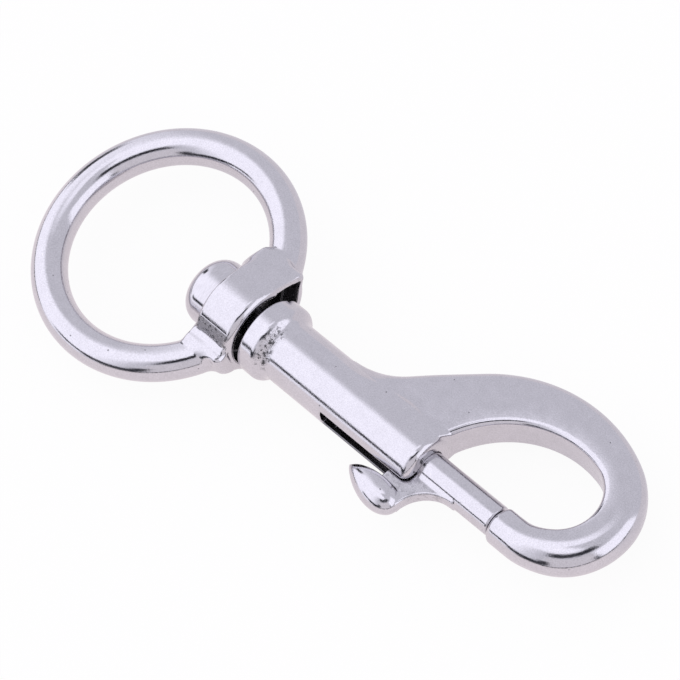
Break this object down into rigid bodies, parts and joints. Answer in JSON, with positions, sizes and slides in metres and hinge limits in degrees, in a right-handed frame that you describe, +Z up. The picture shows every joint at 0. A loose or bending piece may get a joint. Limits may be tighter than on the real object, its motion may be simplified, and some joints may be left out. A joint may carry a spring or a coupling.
{
  "type": "swivel snap hook",
  "caption": "Cast snap hook with a large round swivelling eye and a hook whose gap is closed by a spring-loaded sliding bolt with a thumb lever.",
  "frame": {"origin": "centre of the swivel eye, on the swivel axis", "axes": "+X along the swivel axis from the eye towards the hook, +Y towards the hook's loop, away from the thumb lever, +Z up, across the eye's plane"},
  "size_m": [0.1092, 0.0443, 0.015],
  "materials": {
    "cast_steel": "polished cast stainless steel",
    "turned_steel": "polished turned stainless steel",
    "spring_wire": "drawn stainless spring wire"
  },
  "bodies": {
    "hook": {"hook_body": "cast_steel", "swivel_stud": "turned_steel", "gate_spring": "spring_wire"},
    "eye": {"swivel_eye": "cast_steel"},
    "bolt": {"gate_bolt": "cast_steel"}
  },
  "joints": [
    {"name": "eye_swivel", "type": "hinge", "parent": "hook", "child": "eye", "pos_m": [0, 0, 0], "axis": [1, 0, 0], "continuous": true},
    {"name": "gate_slide", "type": "slide", "parent": "hook", "child": "bolt", "axis": [-1, 0, 0], "range_m": [0, 0.0141], "stiffness_N_per_m": 400, "springref_m": -0.01, "deforming": ["gate_spring"]}
  ]
}
